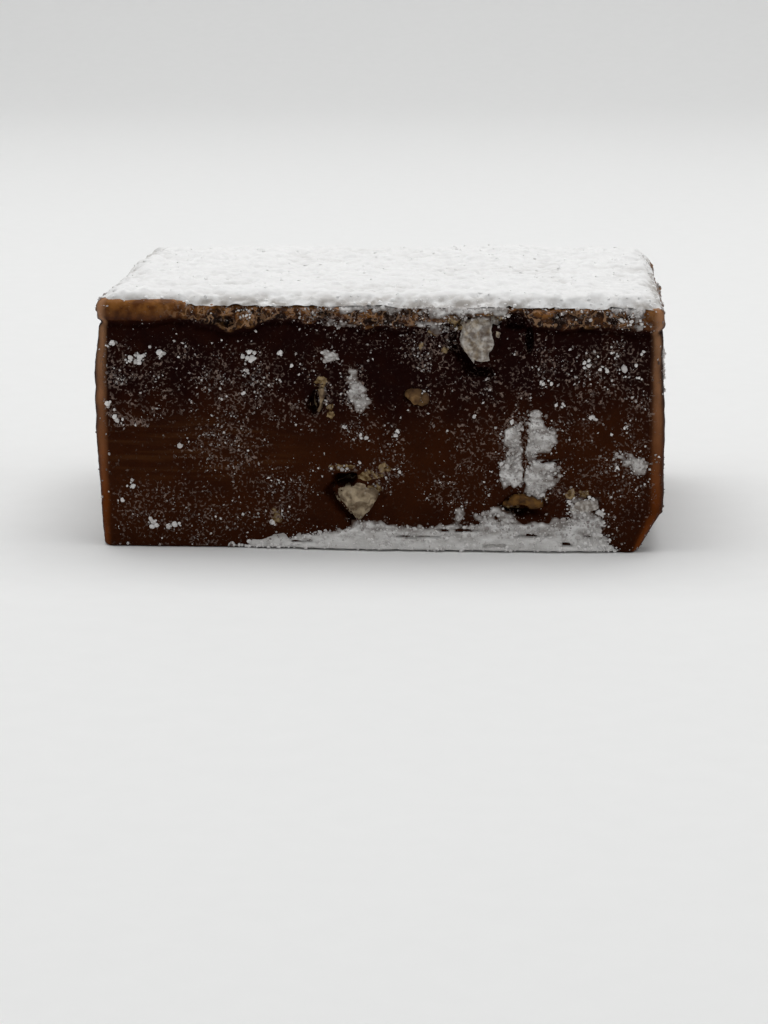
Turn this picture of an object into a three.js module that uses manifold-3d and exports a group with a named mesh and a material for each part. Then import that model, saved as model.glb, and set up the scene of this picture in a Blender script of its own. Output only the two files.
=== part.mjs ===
// Peanut butter meltaway: one knife-cut block of nut chocolate under a thick dusting of icing
// sugar. Millimetres, +Z up, origin in the middle of the underside, long cut face towards -Y.
import * as THREE from "three";
import { ImprovedNoise } from "three/addons/math/ImprovedNoise.js";
import { mergeVertices } from "three/addons/utils/BufferGeometryUtils.js";
import Module from "manifold-3d";

const wasm = await Module();
wasm.setup();

// ---- Driving dimensions ----------------------------------------------------------------------
const BLOCK = { length: 36, width: 26, height: 15.5 };
const WALL_INSET = 0.5; // cut faces start this far inside the block's box, so relief has room
const EDGE_RADIUS = 0.8; // rounded upright edges
const WALL_CELL = 0.8; // step of the relief grid along the walls
const EDGE_STEPS = 3; // steps round each upright edge

const RIM = { height: 1.1, wander: 0.3, overhang: 0.2, groove: 0.1, rounding: 0.3 }; // dragged lip
const WAVE = { height: 0.08, length: 7 }; // slow swell that the knife leaves in a cut face
const BEVEL = { width: 1.25, height: 2.5, shareAtBack: 0.5 }; // foot broken away on the right
const FOOT_ROUNDING = 0.14; // how far the bottom edge is drawn in
const SUGAR_CLUMP_RISE = 0.25; // thickness of the sugar stuck to the walls

const SUGAR_TOP = { thickness: 0.8, lump: 0.2, inset: 0.15, wander: 0.25, edgeWidth: 1.0, cell: 0.84 };
const SUGAR_MOUNDS = [ // middle, half width and rise of the mounds and dips in the layer on top
  { x: -11, y: 8, halfWidth: 4.5, rise: 0.2 },
  { x: 7.5, y: 9, halfWidth: 3.2, rise: 0.4 },
  { x: 12.2, y: 10, halfWidth: 1.5, rise: -0.2 },
  { x: 15.3, y: 8, halfWidth: 2.4, rise: 0.35 },
  { x: -4, y: -3, halfWidth: 4.0, rise: 0.12 },
  { x: 9, y: -6, halfWidth: 3.0, rise: 0.15 },
];

const SOCKET_GAP = 0.3; // clearance between a peanut bit and the chocolate round it

// Heights of the relief grid's rows, closest together at the rim and at the foot.
const RIM_ROWS = [0, 0.3, 0.7, 1.05, 1.5]; // measured down from the top
const FOOT_ROWS = [0.35, 0]; // measured up from the underside
const FIELD_ROW_STEP = 0.95; // spacing of the rows between them

// Faces of the block: outward direction, direction in which the face's own u runs, distance from
// the middle, half its length, and how far and at what height the cut bellies out.
const HALF_LENGTH = BLOCK.length / 2;
const HALF_WIDTH = BLOCK.width / 2;
const FACES = {
  front: { out: [0, -1], along: [1, 0], reach: HALF_WIDTH, half: HALF_LENGTH, belly: 0.1, at: 8 },
  right: { out: [1, 0], along: [0, 1], reach: HALF_LENGTH, half: HALF_WIDTH, belly: 0.45, at: 3.6 },
  back: { out: [0, 1], along: [-1, 0], reach: HALF_WIDTH, half: HALF_LENGTH, belly: 0.15, at: 6 },
  left: { out: [-1, 0], along: [0, -1], reach: HALF_LENGTH, half: HALF_WIDTH, belly: 0.42, at: 10 },
};

// Sugar stuck to the front: u from the middle, v above the underside, half width, half height.
const FRONT_CLUMPS = [
  { u: 9.4, v: 7.3, a: 1.9, b: 1.1 }, // upper lobe of the large patch
  { u: 9.6, v: 4.4, a: 1.8, b: 1.2 }, // its lower lobe
  { u: 9.2, v: 5.8, a: 0.8, b: 0.9 }, // the neck between them
  { u: 10.0, v: 8.7, a: 0.7, b: 0.6 },
  { u: -1.4, v: 10.3, a: 0.9, b: 1.3 },
  { u: -3.1, v: 12.2, a: 0.5, b: 0.6 },
  { u: -16.9, v: 10.3, a: 0.6, b: 0.6 },
  { u: 12.9, v: 2.1, a: 1.4, b: 1.1 },
  { u: 15.8, v: 5.7, a: 1.2, b: 0.7 },
  { u: 14.7, v: 12.5, a: 0.6, b: 0.6 },
  { u: 15.3, v: 11.5, a: 0.5, b: 0.6 },
];

// Low drift of sugar along the foot of the front face, deepening to the right.
const FRONT_DRIFT = { from: -8.5, to: 17, low: 0.9, high: 2.0 };
const DRIFT = { elsewhere: 0.5, lobeLength: 4.3, lobeRise: 0.45 }; // the same on the other sides

// Clumps on the sides turned away, drawn from a fixed seed in the same mix of sizes.
const HIDDEN_CLUMPS = { back: 13, right: 9, left: 9, smallest: 0.6, largest: 2.0, seed: 11 };

// Chopped peanut that the knife laid bare: face, u and v of its middle, width, height, depth,
// turn in degrees, and how far it stands proud of the cut face. `sides` are flat sides whose
// direction on the face, in degrees, and share of the bit's half size are known.
const PEANUT_BITS = [
  { face: "front", u: 6.2, v: 13.3, size: [4.5, 4.2, 2.6], turn: 0, proud: 0.3,
    sides: [{ way: 217, reach: 0.47 }, { way: -12, reach: 0.61 }, { way: 90, reach: 0.8 }] },
  { face: "front", u: -1.2, v: 3.4, size: [4.3, 3.9, 3.0], turn: 0, proud: 0.35,
    sides: [{ way: 219, reach: 0.57 }, { way: -37, reach: 0.65 }, { way: 95, reach: 0.6 }] },
  { face: "front", u: 2.4, v: 9.8, size: [2.0, 1.4, 1.5], turn: 8, proud: 0.2 },
  { face: "front", u: -3.7, v: 9.7, size: [1.0, 2.3, 1.5], turn: 14, proud: 0.2 },
  { face: "front", u: 9.1, v: 3.2, size: [3.2, 1.6, 1.9], turn: 4, proud: 0.3 },
  { face: "front", u: 12.9, v: 3.0, size: [2.3, 1.4, 1.7], turn: -6, proud: 0.3 },
  { face: "back", u: -10.5, v: 6.0, size: [3.2, 2.7, 2.4], turn: 20, proud: 0.3 },
  { face: "back", u: 3.0, v: 11.0, size: [2.6, 1.9, 1.9], turn: -15, proud: 0.25 },
  { face: "back", u: 11.5, v: 4.2, size: [1.9, 2.5, 1.8], turn: 30, proud: 0.25 },
  { face: "right", u: -4.2, v: 8.8, size: [2.9, 2.4, 2.2], turn: 12, proud: 0.05 },
  { face: "right", u: 6.4, v: 5.0, size: [2.2, 1.8, 1.7], turn: -24, proud: 0.0 },
  { face: "left", u: -5.8, v: 4.4, size: [2.4, 2.9, 2.0], turn: 18, proud: 0.15 },
  { face: "left", u: 3.6, v: 10.6, size: [2.7, 1.7, 1.8], turn: -8, proud: 0.05 },
];
const CHOP = { planes: 8, nearest: 0.62, spread: 0.25 }; // flat sides that chopping leaves on a bit
const SUNK_SHARE = 0.4; // share of a bit's depth between its middle and where it stands proud

// Bubbles in the chocolate that the knife opened: face, u, v, radius and depth.
const OPEN_BUBBLES = [
  { face: "front", u: -3.0, v: 5.2, radius: 0.9, depth: 0.55 },
  { face: "front", u: 8.9, v: 14.0, radius: 0.8, depth: 0.5 },
  { face: "back", u: -3.4, v: 8.4, radius: 0.8, depth: 0.45 },
  { face: "left", u: 7.4, v: 6.4, radius: 0.8, depth: 0.45 },
];

const COLOURS = { chocolate: "#432619", icingSugar: "#ecebe8", peanut: "#b0966f" };

// ---- Small helpers ---------------------------------------------------------------------------
const perlin = new ImprovedNoise();
const { smoothstep, clamp, degToRad } = THREE.MathUtils;

/** Smooth noise of about -1 to 1 over places `length` mm apart; `layer` picks another pattern. */
function noiseAt(x, y, z, length, layer) {
  return 1.4 * perlin.noise(x / length + layer, y / length + 0.5, z / length - layer);
}

/** Repeatable random numbers from 0 to 1. */
function seededDraw(seed) {
  let state = seed;
  return () => {
    state = (state * 16807) % 2147483647;
    return state / 2147483647;
  };
}

/** Joins a three.js geometry's shared corners and hands it over as a solid. */
function toSolid(geometry) {
  geometry.deleteAttribute("normal");
  geometry.deleteAttribute("uv");
  const merged = mergeVertices(geometry);
  return new wasm.Manifold(new wasm.Mesh({
    numProp: 3,
    vertProperties: merged.attributes.position.array,
    triVerts: new Uint32Array(merged.index.array),
  }));
}

/** Turns a solid back into a geometry that a mesh can show. */
function toGeometry(solid) {
  const { vertProperties, triVerts } = solid.getMesh();
  const geometry = new THREE.BufferGeometry();
  geometry.setAttribute("position", new THREE.BufferAttribute(vertProperties, 3));
  geometry.setIndex(new THREE.BufferAttribute(triVerts, 1));
  geometry.computeVertexNormals();
  return geometry;
}

function namedMesh(name, geometry, material) {
  const mesh = new THREE.Mesh(geometry, material);
  mesh.name = name;
  return mesh;
}

/** Belly of the cut at height z, for a piece of wall that looks outwards along outX, outY. */
function bellyRise(outX, outY, z) {
  let rise = 0;
  for (const { out, belly, at } of Object.values(FACES)) {
    const facing = Math.max(0, outX * out[0] + outY * out[1]);
    const fromBelly = z > at ? (z - at) / (BLOCK.height - at) : (at - z) / at;
    rise += facing ** 2 * belly * Math.cos(fromBelly * Math.PI / 2);
  }
  return rise;
}

/** The point `lift` mm outside a cut face at its own u and v. */
function onFace(faceName, u, v, lift) {
  const { out, along, reach } = FACES[faceName];
  const stand = reach - WALL_INSET + bellyRise(...out, v) + lift;
  return new THREE.Vector3(out[0] * stand + along[0] * u, out[1] * stand + along[1] * u, v);
}

// ---- Sugar clumps and bubbles on the walls ----------------------------------------------------
/** Clumps for one side turned away: mostly small, and more of them low down. */
function drawnClumps(faceName, count, draw) {
  const { half } = FACES[faceName];
  return Array.from({ length: count }, () => {
    const size = HIDDEN_CLUMPS.smallest
      + (HIDDEN_CLUMPS.largest - HIDDEN_CLUMPS.smallest) * draw() ** 2;
    return {
      face: faceName,
      u: (2 * draw() - 1) * (half - 2),
      v: 0.8 + (BLOCK.height - RIM.height - 2.4) * draw() ** 1.4,
      a: size,
      b: size * (0.55 + 0.4 * draw()),
    };
  });
}

function allClumps() {
  const draw = seededDraw(HIDDEN_CLUMPS.seed);
  const hidden = ["back", "right", "left"].flatMap(
    (face) => drawnClumps(face, HIDDEN_CLUMPS[face], draw));
  return [...FRONT_CLUMPS.map((clump) => ({ face: "front", ...clump })), ...hidden];
}

const CLUMPS = allClumps();

/** A wall place's own u on a face, or null where the place belongs to another face. */
function placeOnFace(faceName, x, y) {
  const { out, along, reach } = FACES[faceName];
  const behind = reach - (x * out[0] + y * out[1]);
  return behind < WALL_INSET + EDGE_RADIUS ? x * along[0] + y * along[1] : null;
}

function clumpRise(x, y, z) {
  const raggedness = 1 + 0.3 * noiseAt(x, y, z, 1.3, 3);
  let rise = 0;
  for (const { face, u, v, a, b } of CLUMPS) {
    const along = placeOnFace(face, x, y);
    if (along === null) continue;
    const distance = Math.hypot((along - u) / a, (z - v) / b) * raggedness;
    rise = Math.max(rise, 1 - smoothstep(distance, 0.65, 1.2));
  }
  return rise * SUGAR_CLUMP_RISE;
}

/** Sugar drift along a foot: full on the front from the middle rightwards, thin elsewhere. */
function driftRise(x, y, z) {
  const { from, to, low, high } = FRONT_DRIFT;
  const u = placeOnFace("front", x, y);
  const lobes = DRIFT.lobeRise * noiseAt(x, y, 0, DRIFT.lobeLength, 5);
  const onFront = (low + (high - low) * smoothstep(u, from + 3, 2) + lobes)
    * smoothstep(u, from, from + 3) * (1 - smoothstep(u, to - 1, to));
  const crest = u === null ? DRIFT.elsewhere + lobes : onFront;
  return crest > 0 ? SUGAR_CLUMP_RISE * (1 - smoothstep(z, crest * 0.7, crest + 0.5)) : 0;
}

function bubbleDepth(x, y, z) {
  let depth = 0;
  for (const bubble of OPEN_BUBBLES) {
    const along = placeOnFace(bubble.face, x, y);
    if (along === null) continue;
    const distance = Math.hypot(along - bubble.u, z - bubble.v) / bubble.radius;
    depth = Math.max(depth, bubble.depth * (1 - smoothstep(distance, 0.4, 1.1)));
  }
  return depth;
}

// ---- Chocolate block --------------------------------------------------------------------------
/** Lip under the sugar: smeared outwards by the knife, uneven below, with a groove under it. */
function rimRelief(x, y, z) {
  const foot = BLOCK.height - RIM.height + RIM.wander * noiseAt(x, y, 0, 3.2, 1);
  const unevenness = 1 + 0.4 * noiseAt(x, y, z, 2.1, 2);
  const lip = RIM.overhang * unevenness * smoothstep(z, foot - 0.3, foot + 0.2);
  const groove = RIM.groove * (1 - Math.min(1, Math.abs(z - foot + 0.5) / 0.5));
  const roundedTop = RIM.rounding * smoothstep(z, BLOCK.height - RIM.rounding, BLOCK.height);
  return lip - groove - roundedTop;
}

/** How far a place on the wall stands outside the flat cut face. */
function wallRelief(x, y, z) {
  const swell = WAVE.height * noiseAt(x, y, z * 1.6, WAVE.length, 4);
  const foot = FOOT_ROUNDING * (1 - smoothstep(z, 0, 0.35));
  const sugar = Math.max(clumpRise(x, y, z), driftRise(x, y, z));
  return swell + sugar + rimRelief(x, y, z) - bubbleDepth(x, y, z) - foot;
}

/** Draws the foot of the right-hand wall in, where it is broken away at a slant. */
function breakFoot(point) {
  const slope = clamp(1 - point.z / BEVEL.height, 0, 1);
  const share = THREE.MathUtils.mapLinear(point.y, -HALF_WIDTH, HALF_WIDTH, 1, BEVEL.shareAtBack);
  const squeezed = 4 * BEVEL.width; // length of front and back face that gives way to the slant
  const towardsSide = clamp((point.x - HALF_LENGTH + squeezed) / squeezed, 0, 1);
  point.x -= BEVEL.width * slope * share * towardsSide;
}

/** Stations round the wall, anticlockwise from above: place on the wall and outward direction. */
function wallStations() {
  const halfLength = HALF_LENGTH - WALL_INSET;
  const halfWidth = HALF_WIDTH - WALL_INSET;
  const corners = [[1, -1], [1, 1], [-1, 1], [-1, -1]].map(
    ([sx, sy]) => [sx * (halfLength - EDGE_RADIUS), sy * (halfWidth - EDGE_RADIUS)]);
  const stations = [];
  corners.forEach(([x, y], k) => {
    const [nextX, nextY] = corners[(k + 1) % 4];
    const startAngle = (k - 1) * Math.PI / 2;
    for (let j = 0; j < EDGE_STEPS; j += 1) {
      const angle = startAngle + (j / EDGE_STEPS) * Math.PI / 2;
      stations.push({ x, y, outX: Math.cos(angle), outY: Math.sin(angle) });
    }
    const steps = Math.round(Math.hypot(nextX - x, nextY - y) / WALL_CELL);
    for (let j = 0; j < steps; j += 1) {
      const t = j / steps;
      stations.push({
        x: x + (nextX - x) * t,
        y: y + (nextY - y) * t,
        outX: Math.cos(k * Math.PI / 2),
        outY: Math.sin(k * Math.PI / 2),
      });
    }
  });
  return stations;
}

function rowHeights() {
  const rimRows = RIM_ROWS.map((down) => BLOCK.height - down);
  const top = rimRows.at(-1);
  const bottom = FOOT_ROWS[0];
  const steps = Math.round((top - bottom) / FIELD_ROW_STEP);
  const fieldRows = Array.from({ length: steps - 1 }, (_, k) => top - (top - bottom) * (k + 1) / steps);
  return [...rimRows, ...fieldRows, ...FOOT_ROWS];
}

/** A drum whose round wall is laid onto the block's outline and given the wall's relief. */
function blockGeometry() {
  const stations = wallStations();
  const heights = rowHeights();
  const rows = heights.length - 1;
  const drum = new THREE.CylinderGeometry(1, 1, 1, stations.length, rows).rotateX(Math.PI / 2);
  const place = drum.attributes.position;
  const point = new THREE.Vector3();
  for (let i = 0; i < place.count; i += 1) {
    point.fromBufferAttribute(place, i);
    const z = heights[Math.round((0.5 - point.z) * rows)];
    if (Math.hypot(point.x, point.y) < 0.5) {
      place.setXYZ(i, 0, 0, z); // middle of the flat top or underside
      continue;
    }
    const turn = (Math.atan2(point.x, -point.y) / (2 * Math.PI) + 1) % 1;
    const { x, y, outX, outY } = stations[Math.round(turn * stations.length) % stations.length];
    const wallX = x + outX * EDGE_RADIUS;
    const wallY = y + outY * EDGE_RADIUS;
    const out = EDGE_RADIUS + bellyRise(outX, outY, z) + wallRelief(wallX, wallY, z);
    point.set(x + outX * out, y + outY * out, z);
    breakFoot(point);
    place.setXYZ(
      i,
      clamp(point.x, -HALF_LENGTH, HALF_LENGTH),
      clamp(point.y, -HALF_WIDTH, HALF_WIDTH),
      z,
    );
  }
  return drum;
}

// ---- Peanut bits ------------------------------------------------------------------------------
/** Flat sides of a chopped bit: drawn ones all round, and the known ones upright to its face. */
function choppedSides(bit, index) {
  const draw = seededDraw(101 + 17 * index);
  const drawn = Array.from({ length: CHOP.planes }, () => ({
    out: new THREE.Vector3().setFromSphericalCoords(1, Math.acos(2 * draw() - 1), 2 * Math.PI * draw()),
    reach: CHOP.nearest + CHOP.spread * draw(),
  }));
  const known = (bit.sides ?? []).map(({ way, reach }) => ({
    out: new THREE.Vector3(Math.cos(degToRad(way)), 0, Math.sin(degToRad(way))),
    reach,
  }));
  return [...drawn, ...known];
}

/** A chopped bit: a ball cut back by its flat sides, `grow` mm larger all round. */
function bitGeometry(bit, index, grow = 0) {
  const planes = choppedSides(bit, index);
  const ball = new THREE.IcosahedronGeometry(1, 1);
  const place = ball.attributes.position;
  const [width, height, depth] = bit.size;
  const way = new THREE.Vector3();
  for (let i = 0; i < place.count; i += 1) {
    way.fromBufferAttribute(place, i).normalize();
    const reach = planes.reduce(
      (least, plane) => Math.min(least, plane.reach / Math.max(way.dot(plane.out), 0.1)), 1);
    way.multiplyScalar(reach);
    place.setXYZ(
      i,
      way.x * (width / 2 + grow),
      way.y * (depth / 2 + grow),
      way.z * (height / 2 + grow),
    );
  }
  const facing = Math.atan2(FACES[bit.face].along[1], FACES[bit.face].along[0]);
  const middle = onFace(bit.face, bit.u, bit.v, bit.proud - SUNK_SHARE * depth);
  return ball.rotateY(degToRad(bit.turn)).rotateZ(facing).translate(middle.x, middle.y, middle.z);
}

// ---- Icing sugar on top -----------------------------------------------------------------------
/** Height of the loose sugar above the chocolate, from its edge inwards. */
function sugarHeight(x, y, fromEdge) {
  const { thickness, lump, edgeWidth } = SUGAR_TOP;
  const shoulder = Math.sqrt(clamp(fromEdge / edgeWidth, 0, 1));
  const lumps = lump * (0.6 * noiseAt(x, y, 0, 4.1, 6) + 0.6 * noiseAt(x, y, 0, 1.9, 8));
  const mounds = SUGAR_MOUNDS.reduce((total, mound) => {
    const distance = Math.hypot(x - mound.x, y - mound.y) / mound.halfWidth;
    return total + mound.rise * Math.exp(-(distance ** 2));
  }, 0);
  return Math.max(0.25, thickness + lumps + mounds) * shoulder;
}

/** A lumpy sheet: a grid for its upper side, closed by a fan over its flat underside. */
function sugarGeometry() {
  const { inset, wander, cell } = SUGAR_TOP;
  const columns = Math.round(BLOCK.length / cell);
  const rows = Math.round(BLOCK.width / cell);
  const sheet = new THREE.PlaneGeometry(2, 2, columns, rows);
  const place = sheet.attributes.position;
  for (let i = 0; i < place.count; i += 1) {
    const s = place.getX(i);
    const t = place.getY(i);
    const cornerPull = 0.5 * (s * t) ** 8;
    const edgeX = HALF_LENGTH - WALL_INSET - inset - cornerPull
      + wander * noiseAt(3 * Math.sign(s), t * HALF_WIDTH, 0, 1.6, 9);
    const edgeY = HALF_WIDTH - WALL_INSET - inset - cornerPull
      + wander * noiseAt(s * HALF_LENGTH, 3 * Math.sign(t), 0, 1.6, 10);
    const x = s * edgeX;
    const y = t * edgeY;
    const fromEdge = Math.min(edgeX - Math.abs(x), edgeY - Math.abs(y));
    place.setXYZ(i, x, y, BLOCK.height + sugarHeight(x, y, fromEdge));
  }
  return closeUnderneath(sheet, columns, rows);
}

/** Adds the flat underside: every edge corner of the grid joined to one in the middle. */
function closeUnderneath(sheet, columns, rows) {
  const across = columns + 1;
  const edge = [
    ...Array.from({ length: columns }, (_, k) => k),
    ...Array.from({ length: rows }, (_, k) => columns + k * across),
    ...Array.from({ length: columns }, (_, k) => rows * across + columns - k),
    ...Array.from({ length: rows }, (_, k) => (rows - k) * across),
  ];
  const corners = [...sheet.attributes.position.array, 0, 0, BLOCK.height];
  const middle = corners.length / 3 - 1;
  const underside = edge.flatMap((corner, k) => [middle, corner, edge[(k + 1) % edge.length]]);
  const closed = new THREE.BufferGeometry();
  closed.setAttribute("position", new THREE.Float32BufferAttribute(corners, 3));
  closed.setIndex([...sheet.index.array, ...underside]);
  closed.computeVertexNormals();
  return closed;
}

// ---- Materials and assembly -------------------------------------------------------------------
const chocolate = new THREE.MeshStandardMaterial({
  color: COLOURS.chocolate, roughness: 0.5, metalness: 0,
});
const icingSugar = new THREE.MeshStandardMaterial({
  color: COLOURS.icingSugar, roughness: 1, metalness: 0,
});
const peanut = new THREE.MeshStandardMaterial({
  color: COLOURS.peanut, roughness: 0.7, metalness: 0,
});

function chocolateBlock() {
  const sockets = PEANUT_BITS.map((bit, index) => toSolid(bitGeometry(bit, index, SOCKET_GAP)));
  const block = sockets.reduce((rest, socket) => rest.subtract(socket), toSolid(blockGeometry()));
  return namedMesh("chocolate_block", toGeometry(block), chocolate);
}

function peanutBits() {
  return PEANUT_BITS.map((bit, index) => {
    const number = String(index + 1).padStart(2, "0");
    const geometry = toGeometry(toSolid(bitGeometry(bit, index)));
    return namedMesh(`peanut_bit_${number}`, geometry, peanut);
  });
}

const meltaway = new THREE.Group();
meltaway.add(chocolateBlock());
meltaway.add(namedMesh("icing_sugar_top", sugarGeometry(), icingSugar));
meltaway.add(...peanutBits());

export default meltaway;
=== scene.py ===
"""Finish of one peanut butter meltaway: cut milk chocolate, sifted icing sugar, chopped peanut."""
import itertools
import math

import bmesh
import bpy
import numpy as np
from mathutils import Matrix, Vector
from mathutils.bvhtree import BVHTree
from mathutils.kdtree import KDTree


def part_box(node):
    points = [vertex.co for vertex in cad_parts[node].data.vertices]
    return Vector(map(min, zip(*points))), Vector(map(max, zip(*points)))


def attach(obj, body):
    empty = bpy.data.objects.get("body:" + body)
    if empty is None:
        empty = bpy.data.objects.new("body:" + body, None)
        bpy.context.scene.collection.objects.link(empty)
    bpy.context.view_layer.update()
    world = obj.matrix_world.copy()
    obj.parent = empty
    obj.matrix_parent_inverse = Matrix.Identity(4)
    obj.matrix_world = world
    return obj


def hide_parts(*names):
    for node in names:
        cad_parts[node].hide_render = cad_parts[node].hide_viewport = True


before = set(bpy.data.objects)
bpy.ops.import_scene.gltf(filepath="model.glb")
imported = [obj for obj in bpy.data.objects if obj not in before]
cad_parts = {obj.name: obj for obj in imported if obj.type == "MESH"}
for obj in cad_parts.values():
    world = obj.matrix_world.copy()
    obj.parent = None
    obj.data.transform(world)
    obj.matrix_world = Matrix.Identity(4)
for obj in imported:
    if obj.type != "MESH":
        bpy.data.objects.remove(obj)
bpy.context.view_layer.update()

MM = 0.001

# ---- Sizes of the block, mm ----
LENGTH, WIDTH, HEIGHT = 36.0, 26.0, 15.5
HALF_LENGTH, HALF_WIDTH = LENGTH / 2, WIDTH / 2
WALL_INSET = 0.5  # the cut faces start this far inside the block's box
EDGE_RADIUS = 0.8
RIM = {"height": 1.1, "overhang": 0.28, "groove": 0.16, "raised": 0.3}  # raised at the left front
BEVEL = {"width": 1.25, "height": 2.5, "share_at_back": 0.5, "ledge": 0.12}
FACES = {  # outward direction, direction of the face's own u, reach, half length, belly, its height
    "front": {"out": (0, -1), "along": (1, 0), "reach": 13, "half": 18, "belly": 0.1, "at": 8},
    "right": {"out": (1, 0), "along": (0, 1), "reach": 18, "half": 13, "belly": 0.45, "at": 3.6},
    "back": {"out": (0, 1), "along": (-1, 0), "reach": 13, "half": 18, "belly": 0.15, "at": 6},
    "left": {"out": (-1, 0), "along": (0, -1), "reach": 18, "half": 13, "belly": 0.42, "at": 10},
}
WALL_CELL = 0.155  # step of the finished wall's mesh

# Sugar stuck to the front: u from the middle, v above the underside, half width, half height, and
# how full the patch is, from 0 for broken to 1 for a closed cake.
FRONT_PATCHES = [
    (9.95, 8.6, 0.45, 0.45, 0.9), (9.85, 8.05, 0.42, 0.4, 1), (10.2, 7.35, 1.02, 0.85, 1),
    (9.6, 6.6, 0.42, 0.6, 1), (10.25, 4.8, 1.05, 0.9, 1), (9.75, 4.4, 0.6, 0.8, 1),
    (10.15, 3.9, 0.6, 0.55, 0.9), (8.45, 7.3, 0.75, 0.8, 0.9), (8.75, 7.85, 0.42, 0.45, 0.9),
    (8.6, 6.15, 0.6, 0.8, 0.8), (8.4, 5, 0.75, 0.9, 0.9), (-1.6, 10.95, 0.36, 0.52, 0.8),
    (-1.45, 10.2, 0.52, 0.65, 0.9), (-1, 9.45, 0.42, 0.5, 0.7), (-3.1, 12.3, 0.42, 0.33, 0.7),
    (-2.5, 14.35, 0.75, 0.16, 0.9), (2.9, 14.4, 0.6, 0.12, 0.6), (12.8, 2.5, 0.8, 1, 1),
    (13.4, 1.7, 0.9, 0.6, 1), (11.6, 1.5, 0.9, 0.7, 0.9), (14.4, 0.6, 0.75, 0.4, 0.9),
    (7.3, 2.1, 1.2, 0.5, 0.6), (5.1, 2.2, 0.25, 0.55, 0.7), (-2.4, 5.3, 0.8, 0.12, 0.6),
    (3.9, 14.2, 0.6, 0.4, 0.3), (6, 14.9, 0.9, 0.25, 0.35), (15.15, 6.15, 0.45, 0.22, 0.7),
    (15.8, 5.85, 0.45, 0.17, 0.7), (16.3, 5.6, 0.42, 0.35, 0.8), (16.1, 15, 0.25, 0.4, 0.7),
    (16.3, 14.4, 0.3, 0.15, 0.5),
]
FRONT_CREASES = [  # u, v, half width, half height, depth of cracks and streaks in the sugar
    (9.14, 6.1, 0.13, 2.3, 0.45), (10.7, 6.05, 0.8, 0.22, 0.5), (5.6, 1.3, 2.4, 0.16, 0.5),
    (9.5, 1.05, 2, 0.18, 0.8), (2.5, 0.9, 2.4, 0.14, 0.75), (7.4, 0.42, 1.3, 0.16, 1.4),
    (11.9, 0.5, 0.5, 0.16, 1.2), (-4.6, 0.5, 1.2, 0.12, 0.55), (0.2, 0.5, 1, 0.12, 1),
]
FRONT_CLUSTERS = [  # u, v, half width, half height of small heaps of dry lumps
    (-16.8, 12.9, 0.3, 0.35), (-15.4, 12, 0.5, 0.35), (-14.9, 12.4, 0.3, 0.3), (-13.6, 12.3, 0.2, 0.3),
    (-12.2, 12.1, 0.35, 0.25), (-8.1, 12.3, 0.5, 0.35), (-8.3, 11.3, 0.2, 0.3), (-9.75, 13.2, 0.17, 0.17),
    (-12.6, 13.7, 0.17, 0.17), (-14.3, 13, 0.17, 0.17), (-7.6, 13.9, 0.15, 0.15), (-6.1, 12.4, 0.25, 0.25),
    (-5.4, 11.8, 0.25, 0.15), (-15.7, 4, 0.25, 0.2), (-16.3, 3, 0.2, 0.15), (-14.3, 1.6, 0.45, 0.3),
    (-13, 1.5, 0.5, 0.25), (-10.1, 1.9, 0.3, 0.2), (-6.7, 1.7, 0.25, 0.3), (-12.5, 6.5, 0.2, 0.15),
    (12.9, 12, 0.3, 0.35), (14.65, 12.6, 0.3, 0.32), (14, 11.7, 0.3, 0.25), (15.2, 11.5, 0.35, 0.32),
    (16.4, 12.6, 0.22, 0.25), (16.2, 11.1, 0.2, 0.25), (10.45, 10.8, 0.45, 0.16), (11.5, 9.4, 0.5, 0.1),
    (13.5, 8.6, 0.35, 0.15), (15.45, 8, 0.15, 0.4), (14.9, 5.4, 0.22, 0.18), (13.5, 3.4, 0.35, 0.15),
    (-0.9, 7.3, 0.3, 0.2), (-2.1, 7.9, 0.35, 0.15), (1.2, 7.4, 0.15, 0.35), (6, 8.6, 0.2, 0.15),
    (1.2, 9, 0.2, 0.12), (5.3, 2.9, 0.3, 0.15), (7.9, 15, 0.35, 0.2), (15.4, 14.7, 0.4, 0.3),
    (16.6, 14.2, 0.3, 0.2), (-8.3, 15, 0.7, 0.3), (8.2, 8.2, 0.4, 0.3), (7.9, 5.3, 0.3, 0.5),
    (12.1, 3, 0.35, 0.35), (13.95, 2.5, 0.3, 0.5), (13, 3.35, 0.5, 0.25), (14.1, 1.2, 0.4, 0.3),
    (-9.85, 9.6, 0.15, 0.1), (-9.4, 9.83, 0.2, 0.09), (-8.9, 9.95, 0.2, 0.09), (-8.45, 9.97, 0.15, 0.08),
    (-16.9, 9.3, 0.1, 0.3), (-16.6, 8.6, 0.12, 0.3), (-16.2, 8.15, 0.25, 0.1), (-15.3, 7.9, 0.3, 0.06),
]
FRONT_DRIFT = [  # u, height of the drift's crest
    (-18, -0.3), (-10, -0.2), (-9, 0.2), (-7, 0.6), (-5, 1), (-2.6, 1.25), (-1.4, 1.8), (-0.6, 2),
    (1.1, 1.5), (3.7, 1.65), (6.5, 1.75), (8, 1.9), (11, 1.7), (14.3, 0.9), (15.8, 0.1), (18, -0.3),
]
FRONT_SPILL = [  # u, how far the top sugar has slid down over the lip
    (-18, -0.6), (-11.5, -0.4), (-9, -0.05), (-7, -0.2), (-4, 0.05), (0, 0.3), (3, 0.45), (4, 0.75),
    (5.2, 0.45), (7.2, 0.5), (7.9, 0.4), (8.6, -0.4), (9.8, 0.1), (13, 0.1), (14.6, 0.25), (15.9, 0.5),
    (16.3, 0.3), (16.7, -0.4), (18, -0.6),
]
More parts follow.
